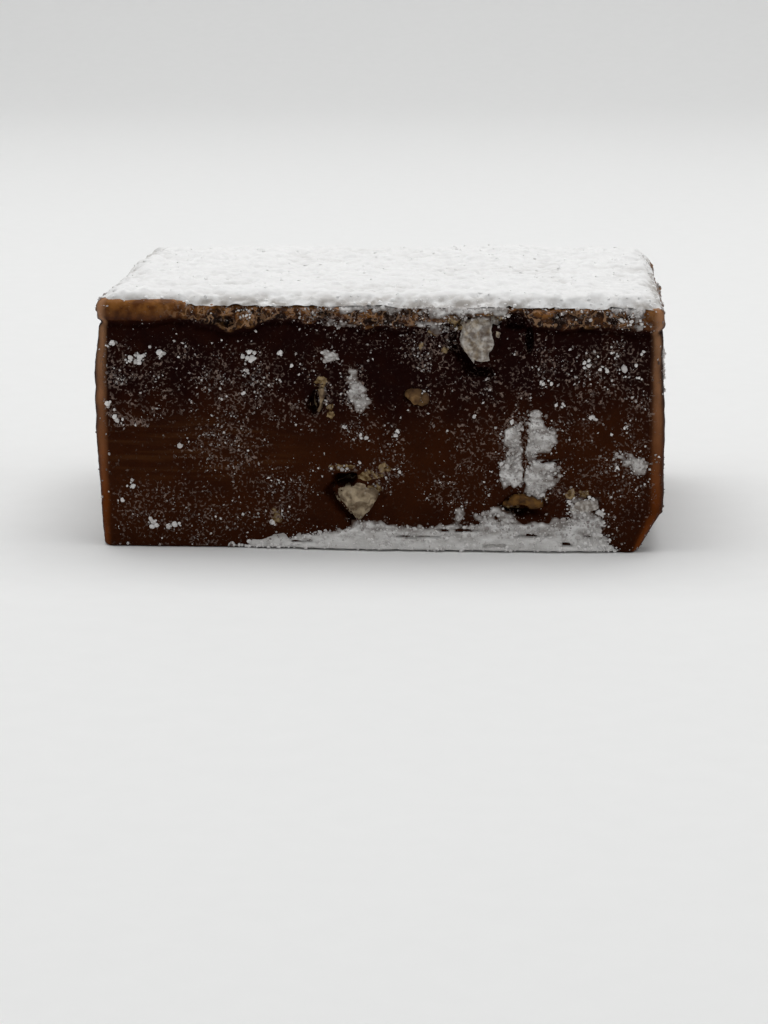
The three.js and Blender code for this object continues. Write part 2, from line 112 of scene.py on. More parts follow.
FRONT_LIP = [  # u, height of the lip's lower edge, how crumbled it is there, 0 to 1
    (-18, 14.5, 0), (-14, 14.45, 0), (-12.9, 14.65, 0.3), (-12, 14.65, 0.7), (-10.6, 14.25, 1),
    (-9.4, 13.8, 1), (-8.2, 14.1, 1), (-6.8, 14.65, 1), (-4.6, 14.5, 0.8), (-2.5, 14.6, 0.9),
    (-0.7, 14.2, 1), (3.2, 14.35, 1), (4.3, 14.6, 0.7), (7.6, 14.7, 0.7), (8.6, 15.2, 1), (9.3, 14.7, 1),
    (9.9, 14.2, 1), (13, 14.25, 1), (15.6, 14.05, 1), (16.4, 14.1, 0.3), (18, 14.1, 0),
]
FRONT_DUST = [  # u, v, half width, half height, strength of the dusty zones
    (-16.5, 11.8, 1.6, 1.6, 0.8), (-14.6, 11.3, 1.6, 1.4, 0.8), (-12.4, 12.3, 1.6, 1, 0.6),
    (-8.6, 10.6, 3.4, 2.6, 1), (-13.6, 9.4, 3.4, 1.4, 0.8), (-9.6, 6.4, 3.4, 1.9, 1),
    (-12.6, 2.2, 5.2, 2.4, 1), (-6.8, 3.4, 3, 2.2, 0.8), (-5.4, 8.6, 2.4, 1.2, 0.6), (-1, 7.6, 2, 1.2, 1),
    (-3.9, 11.6, 1.2, 1.5, 0.7), (-1.2, 13.2, 2, 0.9, 0.6), (3.2, 13, 2, 1.8, 2.2), (7, 10.6, 3, 1.8, 0.8),
    (9.9, 12.2, 1.8, 2.2, 0.7), (14.2, 11.6, 3.6, 2.3, 1), (12.4, 8.6, 1.8, 2.4, 0.7),
    (14.8, 3.9, 3.2, 3, 1), (16.3, 8.4, 1.3, 2.6, 0.7), (6.3, 6.8, 2.2, 2.6, 0.8), (5.2, 4, 2.4, 1.6, 0.7),
    (0.8, 6.2, 1.3, 3, 0.8), (3.4, 9.6, 1.8, 2.2, 0.5), (1.6, 14.9, 2.6, 0.8, 2.2),
    (-3, 14.9, 2.4, 0.6, 1.4), (15.2, 14.8, 1.2, 0.7, 1.6), (-16.4, 10.6, 0.8, 0.6, 3.2),
    (-15.8, 8.1, 1.4, 0.4, 2.6), (-9.3, 9.7, 1, 0.4, 2), (-16.8, 9.1, 0.4, 0.9, 3),
    (8.8, 7, 1.6, 2.4, 1.6), (11.4, 4.4, 0.8, 1.6, 1.4), (-1.4, 10.3, 1.2, 1.7, 1.5),
    (-3.3, 10.2, 0.7, 1.2, 1.4), (0.2, 4.8, 0.9, 0.8, 1.5), (13.2, 3.9, 1.6, 1.2, 1.5),
]
FRONT_DRAG = (-11.5, 6.3, 7.5, 2.6, 1)  # u, v, half width, half height, strength of the drag marks
BARE_CORNERS = {"side": (16.9, 17.4), "end": (7, 12)}  # where dust fades out, from the middle
DRIFT = {"elsewhere": 0.25, "lobe_length": 2.2, "lobe_rise": 0.45, "heap": 0.38, "heap_reach": 1.5}
SPILL = {"elsewhere": 0.1, "length": 1.3, "wander": 0.3}
HIDDEN_PATCHES = {"back": 13, "right": 9, "left": 9, "smallest": 0.6, "largest": 2, "seed": 11}

OPEN_BUBBLES = [  # face, u, v, half width, half height, depth
    ("front", -2.1, 4.5, 0.85, 0.5, 1.5), ("front", 8.5, 14.6, 0.75, 0.5, 0.7),
    ("front", 9.4, 13.4, 0.27, 0.8, 1.2), ("front", -4, 9.5, 0.28, 0.85, 0.7),
    ("front", -9.7, 14.5, 0.8, 0.4, 0.4), ("front", -7.3, 14.85, 0.4, 0.25, 0.35),
    ("front", 12.9, 14.3, 0.6, 0.16, 0.4), ("front", -3.4, 15, 0.5, 0.2, 0.3),
    ("front", 8.9, 2.6, 0.7, 0.35, 0.7), ("front", 10.8, 5.8, 0.9, 0.12, 0.3),
    ("back", -3.4, 8.4, 0.7, 0.6, 0.8), ("left", 7.4, 6.4, 0.6, 0.8, 0.8),
    ("right", 1.2, 11.4, 0.35, 0.7, 0.7),
]

# Where the chocolate has pulled away from a bit: direction on the face in degrees, depth and
# width of the gap in mm.
GAPS = {
    "peanut_bit_01": (225, 1.2, 0.85), "peanut_bit_02": (200, 0.8, 0.55),
    "peanut_bit_04": (190, 0.7, 0.45), "peanut_bit_05": (260, 1, 0.6),
    "peanut_bit_07": (60, 0.6, 0.45), "peanut_bit_09": (200, 0.7, 0.45),
    "peanut_bit_11": (300, 0.6, 0.45), "peanut_bit_12": (120, 0.7, 0.45),
}
NUT_SMEARS = [  # u, v, half width, half height of nut ground into the front beside its bits
    (-2.4, 5.35, 1, 0.22), (-0.5, 4.8, 0.9, 0.5), (0.3, 5.3, 0.5, 0.4), (-0.2, 3.9, 0.6, 0.5),
    (-3.6, 10.6, 0.5, 0.8), (-3, 8.9, 0.3, 0.5), (5, 14.4, 0.7, 0.5), (3.4, 13.8, 0.7, 0.25),
    (2.6, 13, 0.4, 0.3), (4.2, 12.8, 0.3, 0.3), (7.2, 14.9, 0.8, 0.4), (9.6, 3.4, 1.3, 0.35),
    (8.5, 2.9, 0.6, 0.4), (12.4, 3.7, 1, 0.4), (-6.4, 1.9, 0.5, 0.8),
]
# How pale each bit's flesh is and how much sugar lies on it, 0 to 1.
BIT_LOOKS = {
    "peanut_bit_01": (0.85, 0.6), "peanut_bit_02": (0.85, 0.2), "peanut_bit_03": (0.1, 0),
    "peanut_bit_04": (0.5, 0.2), "peanut_bit_05": (0, 0.1), "peanut_bit_06": (0.8, 1.4),
}
USUAL_LOOK = (0.5, 0.2)


# ---- Repeatable randomness and noise ----
def smooth_step(value, low, high):
    t = np.clip((value - low) / (high - low), 0, 1)
    return t * t * (3 - 2 * t)


def smooth_noise(points, size, layer):
    """Noise from -1 to 1 with lumps about `size` mm across; `layer` picks another pattern."""
    place = np.asarray(points, float) / np.asarray(size, float) + 31.7 * layer
    cell = np.floor(place).astype(np.int64)
    part = place - cell
    part = part * part * (3 - 2 * part)
    total = np.zeros(len(place))
    for corner in itertools.product((0, 1), repeat=3):
        lattice = (cell + corner) * (73856093, 19349663, 83492791)
        mixed = lattice[:, 0] ^ lattice[:, 1] ^ lattice[:, 2]
        mixed = ((mixed ^ (mixed >> 13)) * 1274126177) & 0x7FFFFFFF
        mixed = ((mixed ^ (mixed >> 15)) * 668265263) & 0x7FFFFFFF
        share = np.prod(np.where(corner, part, 1 - part), axis=1)
        total += share * mixed / 0x7FFFFFFF
    return 2 * total - 1


def layered_noise(points, size, layer, octaves=3):
    """Noise whose lumps carry smaller lumps, each half as large and as high."""
    layers = [smooth_noise(points, np.divide(size, 2**k), layer + k) / 2**k for k in range(octaves)]
    return sum(layers) / 1.5


def seeded_draw(seed):
    """Repeatable random numbers from 0 to 1, the same row as the block's own relief draws."""
    while True:
        seed = seed * 16807 % 2147483647
        yield seed / 2147483647


# ---- Where things are on the walls ----
def outline_knots():
    """Distances, corner middles and directions where the outline's straights end."""
    corners = [(sx * (HALF_LENGTH - WALL_INSET - EDGE_RADIUS), sy * (HALF_WIDTH - WALL_INSET - EDGE_RADIUS))
               for sx, sy in ((1, -1), (1, 1), (-1, 1), (-1, -1))]
    knots = [(0.0, *corners[0], -math.pi / 2)]
    for k, corner in enumerate(corners):
        at, following = knots[-1][0] + EDGE_RADIUS * math.pi / 2, corners[(k + 1) % 4]
        knots.append((at, *corner, k * math.pi / 2))
        knots.append((at + math.dist(corner, following), *following, k * math.pi / 2))
    return np.array(knots)


KNOTS = outline_knots()
PERIMETER = KNOTS[-1, 0]


def flat_wall(distance, z):
    """Places on the flat cut faces, this far round the outline, and the outward directions there."""
    x, y, angle = (np.interp(distance, KNOTS[:, 0], KNOTS[:, k]) for k in (1, 2, 3))
    out = np.stack([np.cos(angle), np.sin(angle)], axis=1)
    return np.column_stack([np.stack([x, y], axis=1) + EDGE_RADIUS * out, z]), out


def own_u(name, points):
    """A face's own u of wall places, and True where they belong to that face."""
    face, place = FACES[name], points[:, :2]
    return place @ face["along"], face["reach"] - place @ face["out"] < WALL_INSET + EDGE_RADIUS


def oval_reach(u, z, middle_u, middle_v, across, up):
    """Distance from the middle of an oval, 1 on its outline."""
    return np.hypot((u - middle_u) / across, (z - middle_v) / up)


def in_ovals(table, points, fade, ragged=0, face="front"):
    """Strength of the ovals that wall places lie in, fading out between two reaches."""
    u, here = own_u(face, points)
    strongest = np.zeros(len(points))
    for *oval, strength in table:
        reach = oval_reach(u, points[:, 2], *oval) + ragged
        strongest = np.maximum(strongest, strength * (1 - smooth_step(reach, *fade)))
    return strongest * here


def hidden_patches():
    """Patches on the sides turned away, in the places of the block's own relief."""
    draw = seeded_draw(HIDDEN_PATCHES["seed"])
    smallest, largest = HIDDEN_PATCHES["smallest"], HIDDEN_PATCHES["largest"]
    patches = []
    for name in ("back", "right", "left"):
        for _ in range(HIDDEN_PATCHES[name]):
            size = smallest + (largest - smallest) * next(draw) ** 2
            u = (2 * next(draw) - 1) * (FACES[name]["half"] - 2)
            v = 0.8 + (HEIGHT - RIM["height"] - 2.4) * next(draw) ** 1.4
            full = 0.3 + 0.7 * size / largest
            patches.append((name, u, v, size, size * (0.55 + 0.4 * next(draw)), full))
    return patches


PATCHES = [("front", *patch) for patch in FRONT_PATCHES] + hidden_patches()


def patch_depth(points):
    """How far inside a sugar patch wall places lie, in mm; below zero outside."""
    _, front = own_u("front", points)
    ragged = np.where(front, 0.4, 1.7) * layered_noise(points, 1.5, 3)
    depth = np.full(len(points), -9.0)
    for name in FACES:
        u, here = own_u(name, points)
        for _, *oval, full in (patch for patch in PATCHES if patch[0] == name):
            narrow = min(oval[2:])
            inside = (1 - oval_reach(u, points[:, 2], *oval)) * narrow + ragged * min(1, narrow)
            depth = np.where(here, np.maximum(depth, np.minimum(inside, 0.45 * full - 0.1)), depth)
    return depth


def crease_depth(points):
    """Cracks and level streaks in the sugar on the front, 0 outside them."""
    return in_ovals(FRONT_CREASES, points, (0.4, 1.1), 0.5 * smooth_noise(points, 0.5, 8))


def from_table(table, u, elsewhere, front):
    """Height along the front from its table; the other faces have one height."""
    along, height = zip(*table)
    return np.where(front, np.interp(u, along, height), elsewhere)


def drift_depth(points):
    """How far below the crest of the drift round the foot."""
    u, front = own_u("front", points)
    crest = from_table(FRONT_DRIFT, u, DRIFT["elsewhere"], front)
    lobes = np.where(front, 0.5, 1) * DRIFT["lobe_rise"]
    return crest + lobes * layered_noise(points * (1, 1, 0), DRIFT["lobe_length"], 5) - points[:, 2]


def spill_depth(points):
    """How far above the lower edge of the sugar that slid over the lip."""
    u, front = own_u("front", points)
    slid = from_table(FRONT_SPILL, u, SPILL["elsewhere"], front)
    slid += SPILL["wander"] * layered_noise(points * (1, 1, 0), SPILL["length"], 6)
    return slid - (HEIGHT - points[:, 2])


def sugar_depth(points):
    """How far inside the sugar on the walls places lie, in mm; below zero where they are bare."""
    depth = np.maximum(patch_depth(points), drift_depth(points))
    return np.maximum(depth, spill_depth(points)) - crease_depth(points)


def dustiness(points):
    """How dusty with stray sugar the walls are: in zones on the front, in clouds elsewhere."""
    _, front = own_u("front", points)
    clouds = smooth_step(layered_noise(points, 3.0, 60), -0.4, 0.4)
    zones = in_ovals(FRONT_DUST, points, (0.5, 1.2))
    spread = np.where(front, 0.04 + zones * (0.45 + 0.55 * clouds), 0.1 + 0.9 * clouds)
    _, crumbled = lip_outline(points)
    on_lip = 0.55 * crumbled * smooth_step(points[:, 2], HEIGHT - 1.3, HEIGHT - 1)
    side, end = np.abs(points[:, :2]).T
    on_corner = smooth_step(side, *BARE_CORNERS["side"]) * smooth_step(end, *BARE_CORNERS["end"])
    return np.maximum(spread, on_lip) * (1 - 0.9 * on_corner)


def nut_smears(points):
    """Where ground nut is rubbed over the cut, 0 to 1."""
    smears = [(*smear, 1) for smear in NUT_SMEARS]
    return in_ovals(smears, points, (0.5, 1.1), 0.45 * layered_noise(points, 0.8, 9, 2))


def knife_drag(points):
    """Where the knife's drag marks show: in one zone on the front, in bands elsewhere."""
    _, front = own_u("front", points)
    bands = smooth_step(smooth_noise(points, (9, 9, 3), 26), 0.0, 0.6)
    return np.where(front, in_ovals([FRONT_DRAG], points, (0.5, 1.1)), bands)


def tone_and_lip_shade(points):
    """How light the cut is drawn, 0 to 1: painted shade makes it nearly black under the lip and lighter
    lower down, with random tone over it.
    """
    out_of_lip_shade = 0.8 * smooth_step(points[:, 2], 12.0, 6.0)
    return np.clip(out_of_lip_shade + 0.35 * layered_noise(points, 4.0, 35, 2), 0, 1)


# ---- Relief of the cut chocolate ----
def billows(points, size, layer):
    """Rounded lumps with sharp creases between them, 0 in a crease."""
    return np.abs(layered_noise(points, size, layer, 2)) * 2


def lip_outline(points):
    """Height of the lip's lower edge, and how crumbled the lip is there."""
    u, front = own_u("front", points)
    flat = points * (1, 1, 0)
    along, foot, crumbled = zip(*FRONT_LIP)
    rough = np.where(front, np.interp(u, along, crumbled), smooth_step(smooth_noise(flat, 6, 20), -0.5, 0.6))
    usual = HEIGHT - RIM["height"] + 0.3 * smooth_noise(flat, 3.5, 19)
    height = np.where(front, np.interp(u, along, foot), usual)
    return height + (0.1 + 0.25 * rough) * layered_noise(points, 0.9, 21, 2), rough


def rim_relief(points):
    """The knife-dragged lip: how far it stands out, and the marks that its colour needs."""
    z = points[:, 2]
    foot, rough = lip_outline(points)
    cover = smooth_step(z, foot - 0.06, foot + 0.08)
    up = np.clip((z - foot) / (HEIGHT - foot), 0, 1)
    folds = 1 - np.clip(1.4 * billows(points, (1.1, 1.1, 0.8), 15), 0, 1)
    crumb = 0.55 * folds + 0.45 * (1 - np.clip(1.2 * billows(points, 0.5, 17), 0, 1))
    bead = np.sin(math.pi * (0.14 + 0.76 * up)) * (0.8 + 0.4 * smooth_noise(points * (1, 1, 0), 2.1, 2))
    crumbled = rough * smooth_step(up, 1.0, 0.75)
    lip = RIM["overhang"] * bead + crumbled * 0.6 * (crumb - 0.5)
    lip += 0.05 * (1 - rough) * smooth_noise(points, (3.5, 3.5, 0.4), 14)
    groove = RIM["groove"] * np.exp(-(((z - foot + 0.2) / 0.16) ** 2))
    # colour marks: painted highlight on the crumbled lip's ridges, painted shade in its hollows
    ridge_highlight, hollow = rough * smooth_step(crumb, 0.6, 0.85), crumbled * smooth_step(crumb, 0.65, 0.3)
    marks = {"rim": cover, "up": up, "ridge_highlight": ridge_highlight, "hollow": hollow, "torn": crumbled * cover}
    return lip * cover - groove, marks


def bubble_relief(points):
    """Depth of the bubbles that the knife tore open."""
    ragged = 0.3 * smooth_noise(points, 0.45, 22)
    depths = [in_ovals([oval], points, (0.6, 1.05), ragged, face) for face, *oval in OPEN_BUBBLES]
    return np.max(depths, axis=0)


def belly_relief(out, z):
    """How far each wall bulges, most at its belly's height."""
    rise = np.zeros(len(z))
    for face in FACES.values():
        at = face["at"]
        from_belly = np.where(z > at, (z - at) / (HEIGHT - at), (at - z) / at)
        facing = np.clip(out @ face["out"], 0, None)
        rise += facing**2 * face["belly"] * np.cos(from_belly * math.pi / 2)
    return rise


def knife_relief(points, drag):
    """Fine level drag marks of the knife, bowed a little, and a torn grain all over."""
    bowed = points.copy()
    bowed[:, 2] += 0.001 * (points[:, 0] + 16) ** 2 + 0.02 * points[:, 1]
    marks = layered_noise(bowed, (7, 7, 0.5), 25)
    torn = 0.05 * smooth_noise(points, 0.6, 29) + 0.03 * smooth_noise(points, 0.3, 33)
    return 0.05 * marks * (0.1 + 0.9 * drag) + torn


def break_foot(points):
    """Draws the right-hand wall's foot in, where it is broken away at a slant."""
    slope = np.clip(1 - points[:, 2] / BEVEL["height"], 0, 1)
    share = np.interp(points[:, 1], (-HALF_WIDTH, HALF_WIDTH), (1, BEVEL["share_at_back"]))
    squeezed = 4 * BEVEL["width"]
    towards_side = np.clip((points[:, 0] - HALF_LENGTH + squeezed) / squeezed, 0, 1)
    ledge = BEVEL["ledge"] * smooth_step(slope, 0.0, 0.08)
    points[:, 0] -= (BEVEL["width"] * slope + ledge) * share * towards_side
    return points


ROUNDED = {  # height above the underside, and how far the wall is drawn in there
    "z": (0, 0.03, 0.1, 0.22, HEIGHT - 0.3, HEIGHT - 0.14, HEIGHT - 0.05, HEIGHT),
    "inset": (0.22, 0.1, 0.03, 0, 0, 0.05, 0.15, 0.32)}


def finished_wall(distance, z, thickness=0.0):
    """Points of the cut wall, or of something this thick on it, and the marks its colour needs."""
    points, out = flat_wall(distance, z)
    drag, bubbles = knife_drag(points), bubble_relief(points)
    lip, marks = rim_relief(points)
    swell = 0.08 * smooth_noise(points, (3.5, 3.5, 2.2), 4) + 0.03 * smooth_noise(points, 1.1, 28)
    rise = belly_relief(out, z) + swell + lip + knife_relief(points, drag) - bubbles
    upwards = smooth_step(z, HEIGHT - 0.35, HEIGHT)
    rise += thickness * (1 - 0.7 * upwards) - np.interp(z, ROUNDED["z"], ROUNDED["inset"])
    # painted shade: torn bubbles join the hollows that the lip's colour darkens
    marks["hollow"] = np.maximum(marks["hollow"], smooth_step(bubbles, 0.05, 0.3))
    # painted highlight: marks the rounded upright edges, broken up by noise
    highlight_breakup = 0.75 + 0.4 * layered_noise(points, 0.9, 36, 2)
    marks["edge"] = smooth_step(np.min(np.abs(out), axis=1), 0.28, 0.65) * highlight_breakup
    marks |= {"drag": drag, "tone_and_lip_shade": tone_and_lip_shade(points), "nutty": nut_smears(points)}
    raised = RIM["raised"] * smooth_step(points[:, 0], -9, -13) * smooth_step(points[:, 1], 0, -12)
    points[:, :2] += out * rise[:, None]
    points[:, 2] += (thickness * 0.8 + raised) * upwards
    return break_foot(points), out, marks


# ---- Meshes ----
def smooth_mesh(name, points, faces, material):
    mesh = bpy.data.meshes.new(name)
    mesh.from_pydata(points, [], faces)
    mesh.polygons.foreach_set("use_smooth", [True] * len(mesh.polygons))
    mesh.materials.append(material)
    whole = bpy.data.objects.new(name, mesh)
    bpy.context.collection.objects.link(whole)
    return whole


def new_piece(name, points_mm, faces, material, slot):
    """One piece of the sweet, from points in mm."""
    piece = smooth_mesh(name, (np.asarray(points_mm) * MM).tolist(), faces, material)
    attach(piece, "root")
    return piece


def paint(piece, name, amounts):
    """Stores one number per point, for the material to read."""
    stored = piece.data.attributes.new(name, "FLOAT", "POINT").data
    stored.foreach_set("value", np.asarray(amounts, np.float32))


def grid_cells(across, up, closed=False):
    """Corner numbers of a grid's cells; a closed grid's last column is joined to its first."""
    columns = np.arange(across if closed else across - 1)
    rows = np.arange(up - 1)[:, None] * across
    following = (columns + 1) % across
    corners = [rows + columns, rows + following, rows + across + following, rows + across + columns]
    return np.stack([corner.ravel() for corner in corners], axis=1)


def wall_rows():
    """Heights of the wall's rings, crowded where the foot and the lip are rounded."""
    lip_foot = HEIGHT - 1.6
    wall = np.linspace(0.22, lip_foot, round(lip_foot / WALL_CELL), endpoint=False)
    lip = np.linspace(lip_foot, HEIGHT - 0.3, 13)
    return [*ROUNDED["z"][:3], *wall, *lip, *ROUNDED["z"][5:]]


def seen_from_outside(bit, points, out, near):
    """Those of the wall's points that lie behind or in front of the bit."""
    tree = BVHTree.FromObject(bit, bpy.context.evaluated_depsgraph_get())
    hidden = []
    for index in near:
        way = Vector((*out[index], 0))
        if tree.ray_cast(Vector(points[index] * MM) + way * 3 * MM, -way, 6 * MM)[0] is not None:
            hidden.append(index)
    return hidden


def part_from_bit(points, out, bit):
    """Sinks the wall a little over the bit, and deeply where it has pulled away beside it."""
    low, high = (np.array(corner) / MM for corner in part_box(bit.name))
    near = np.where(np.all((points > low - 1) & (points < high + 1), axis=1))[0]
    inside = seen_from_outside(bit, points, out, near)
    finder = KDTree(len(inside))
    for index in inside:
        finder.insert(points[index], index)
    finder.balance()
    beside = np.setdiff1d(near, inside)
    reach = np.array([finder.find(points[index])[2] for index in beside])
    turn, deep, wide = GAPS.get(bit.name, (0, 0, 0.45))
    middle = (low + high) / 2
    from_middle = points[beside] - middle
    along = np.sum(from_middle[:, :2] * np.stack([-out[beside, 1], out[beside, 0]], axis=1), axis=1)
    facing = np.cos(np.arctan2(from_middle[:, 2], along) - math.radians(turn))
    width = wide * (1 + 0.5 * smooth_noise(points[beside], 0.7, 41))
    groove = deep * (1 - smooth_step(reach / width, 0.3, 1)) * smooth_step(facing, 0.1, 0.7)
    shift = np.zeros(len(points))
    shift[beside] = groove
    over_bit = points[inside]
    shift[inside] = 0.15 + 0.2 * smooth_noise(over_bit, 0.9, 40)
    shift[inside] += RIM["overhang"] * smooth_step(over_bit[:, 2], HEIGHT - 1.2, HEIGHT - 0.9)
    points[:, :2] -= out * shift[:, None]


def chocolate_piece(material, bits):
    """The cut block: walls, rounded rim and foot, and a flat top and underside in rings."""
    around = round(PERIMETER / WALL_CELL)
    rows = wall_rows()
    distance, z = np.tile(np.arange(around) * PERIMETER / around, len(rows)), np.repeat(rows, around)
    points, out, marks = finished_wall(distance, z)
    marks["dust"] = dustiness(flat_wall(distance, z)[0])
    for bit in bits:
        part_from_bit(points, out, bit)
    under = [points[:around] * (share, share, 1) for share in (0.1, 0.35, 0.6, 0.8, 0.93)]
    over = [points[-around:] * (share, share, 1) for share in (0.97, 0.9, 0.5)]
    all_points = np.concatenate([*under, points, *over])
    count = len(all_points) // around
    faces = grid_cells(around, count, closed=True).tolist()
    faces += [list(range(around))[::-1], list(range((count - 1) * around, count * around))]
    block = new_piece("cut_chocolate", all_points, faces, material, "chocolate")
    for name, amounts in marks.items():
        before, after = np.tile(amounts[:around], len(under)), np.tile(amounts[-around:], len(over))
        paint(block, name, np.concatenate([before, amounts, after]))
    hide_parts("chocolate_block")


# ---- Icing sugar ----
TOP_SUGAR = {"thickness": 0.8, "cell": 0.12, "bare_edge": -0.05, "inset": 0.45,
             "corner_middle": 1.8, "corner_radius": 1.35}  # the corner's middle, in from both edges
TOP_HUMPS = [  # x, y, half width, rise of the layer's mounds
    (-11, 8, 4.5, 0.2), (7.5, 9, 3.2, 0.4), (12.2, 10, 1.5, -0.2), (15.3, 8, 2.4, 0.35),
    (-4, -3, 4, 0.12), (9, -6, 3, 0.15), (2.5, 9.5, 2, -0.12), (-15, -9, 2.2, -0.12),
]
CRUST = {"cell": 0.11, "thickness": 0.1, "granules": 0.1, "buried": 0.09, "foot": 0.05}


def foot_white(points):
    """How much whiter the sugar is towards the foot, where it lies thick and dry."""
    return smooth_step(points[:, 2], 1.7, 0.2)


def from_sugar_edge(x, y):
    """How far inside the block's top edge a place lies, round the corners too."""
    from_side, from_end = HALF_LENGTH - np.abs(x), HALF_WIDTH - np.abs(y)
    past_middle = (np.clip(TOP_SUGAR["corner_middle"] - gap, 0, None) for gap in (from_side, from_end))
    in_corner = TOP_SUGAR["corner_radius"] - np.hypot(*past_middle)
    return np.minimum(np.minimum(from_side, from_end) - WALL_INSET, in_corner)


def top_sugar_height(x, y):
    """Height of the loose sugar over the chocolate's top, below zero where there is none."""
    points = np.column_stack([x, y, np.zeros(len(x))])
    inwards = (from_sugar_edge(x, y) - TOP_SUGAR["bare_edge"] + 0.14 * smooth_noise(points, 1.7, 50)
               + 0.12 * smooth_noise(points, 0.6, 51) + 0.08 * smooth_noise(points, 0.25, 52))
    softness = 0.7 + 0.4 * smooth_noise(points, 2.3, 49)
    shoulder = np.where(inwards > 0, 1 - np.exp(-np.clip(inwards, 0, None) / softness), inwards)
    mounds = 0.12 * smooth_noise(points, 3.2, 54) + 0.09 * smooth_noise(points, 1.2, 55)
    mounds += TOP_SUGAR["thickness"]
    for middle_x, middle_y, half_width, rise in TOP_HUMPS:
        mounds += rise * np.exp(-((x - middle_x) ** 2 + (y - middle_y) ** 2) / half_width**2)
    crumbled = np.exp(-((inwards - 0.7) / 0.7) ** 2)  # the layer's slope is lumpier than its middle
    powder = (0.07 + 0.13 * crumbled) * smooth_noise(points, 0.7, 56)
    powder += (0.05 + 0.07 * crumbled) * smooth_noise(points, 0.32, 57)
    return mounds * shoulder + powder * np.clip(inwards / 0.3, 0.2, 1)


def kept_cells(points, cells, kept):
    """The cells asked for, and only the points that they use."""
    used, numbers = np.unique(cells[kept], return_inverse=True)
    return points[used], numbers.reshape(-1, 4).tolist()


def top_sugar_piece(material):
    """The sifted layer, a fine height field that dips under the chocolate's top at its edge."""
    halves = (HALF_LENGTH - TOP_SUGAR["inset"], HALF_WIDTH - TOP_SUGAR["inset"])
    columns, rows = (round(2 * half / TOP_SUGAR["cell"]) for half in halves)
    x, y = np.meshgrid(*(np.linspace(-half, half, n) for half, n in zip(halves, (columns, rows))))
    x, y = x.ravel(), y.ravel()
    height = np.clip(top_sugar_height(x, y), -0.1, None)
    cells = grid_cells(columns, rows)
    covered = (height[cells] > -0.09).any(axis=1)
    points = np.column_stack([x, y, HEIGHT + height])
    sugar = new_piece("sifted_sugar", *kept_cells(points, cells, covered), material, "icing_sugar")
    used = np.unique(cells[covered])
    # the thin edge is greyed in the material: partly thin sugar, partly painted shade on its slope
    paint(sugar, "thin", 1 - smooth_step(height[used], 0.1, TOP_SUGAR["thickness"]))
    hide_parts("icing_sugar_top")


def crust_thickness(points):
    """Thickness of the sugar pressed onto the walls; below zero where they are bare."""
    depth = sugar_depth(points)
    granules = (0.5 * smooth_noise(points, 0.8, 81) + 0.6 * smooth_noise(points, 0.4, 82)
                + 0.4 * smooth_noise(points, 0.22, 83))
    heaped = DRIFT["heap"] * smooth_step(drift_depth(points), 0, DRIFT["heap_reach"])
    thickness = CRUST["thickness"] * np.clip(depth / 0.35, -1.6, 1) + CRUST["granules"] * granules
    thickness += heaped * smooth_step(depth, -0.2, 0.3)
    return np.where(points[:, 2] < CRUST["foot"], -CRUST["buried"], thickness)


def wall_sugar_piece(material):
    """Patches, drift and spill of sugar on the cut faces, as one thin granular crust."""
    across, up = round(PERIMETER / CRUST["cell"]), round(HEIGHT / CRUST["cell"])
    distance, z = np.meshgrid(np.arange(across) * PERIMETER / across, np.linspace(0.03, HEIGHT, up))
    distance, z = distance.ravel(), z.ravel()
    flat, _ = flat_wall(distance, z)
    thickness = crust_thickness(flat)
    points, _, _ = finished_wall(distance, z, np.clip(thickness, -CRUST["buried"], None))
    cells = grid_cells(across, up, closed=True)
    covered = (thickness[cells] > 0).any(axis=1)
    used = np.unique(cells[covered])
    piece = new_piece("pressed_sugar", *kept_cells(points, cells, covered), material, "icing_sugar")
    paint(piece, "thickness", thickness[used])
    paint(piece, "dry", foot_white(flat[used]))


# ---- Materials ----
def linear(hex_colour):
    """An sRGB hex colour as the linear RGBA that shaders take."""
    srgb = [int(hex_colour[k:k + 2], 16) / 255 for k in (1, 3, 5)]
    return (*(c / 12.92 if c <= 0.04045 else ((c + 0.055) / 1.055) ** 2.4 for c in srgb), 1.0)


def fill(node, inputs):
    """Gives a node its inputs, each a value or a socket to link."""
    for name, value in inputs.items():
        if isinstance(value, bpy.types.NodeSocket):
            node.id_data.links.new(value, node.inputs[name])
        else:
            node.inputs[name].default_value = value


def add(beside, kind, inputs=None, **settings):
    """Adds a node to the material that `beside` is in, with its settings and links."""
    node = beside.id_data.nodes.new(kind)
    for name, value in settings.items():
        setattr(node, name, value)
    fill(node, inputs or {})
    return node


def new_material(name):
    """An empty material with its shader and the place on the piece, in metres."""
    material = bpy.data.materials.new(name)
    material.use_nodes = True
    material.node_tree.nodes.clear()
    shader = material.node_tree.nodes.new("ShaderNodeBsdfPrincipled")
    add(shader, "ShaderNodeOutputMaterial", {"Surface": shader.outputs[0]})
    return material, shader, add(shader, "ShaderNodeTexCoord").outputs["Object"]


def blend(amount, first, second):
    """Mixes two colours, each a hex string or a socket; `amount` is a socket."""
    colours = [linear(colour) if isinstance(colour, str) else colour for colour in (first, second)]
    inputs = {0: amount, 6: colours[0], 7: colours[1]}
    return add(amount, "ShaderNodeMix", inputs, data_type="RGBA").outputs[2]


def ramp(value, low, high, to_low=0.0, to_high=1.0):
    """Stretches a value from one range to another and stops at the ends."""
    inputs = {0: value, 1: low, 2: high, 3: to_low, 4: to_high}
    return add(value, "ShaderNodeMapRange", inputs).outputs[0]


def combine(operation, *values, **settings):
    """A sum, product or the like of sockets and numbers, a socket first."""
    settings["operation"] = operation
    return add(values[0], "ShaderNodeMath", dict(enumerate(values)), **settings).outputs[0]


def multiply(first, second):
    return combine("MULTIPLY", first, second)


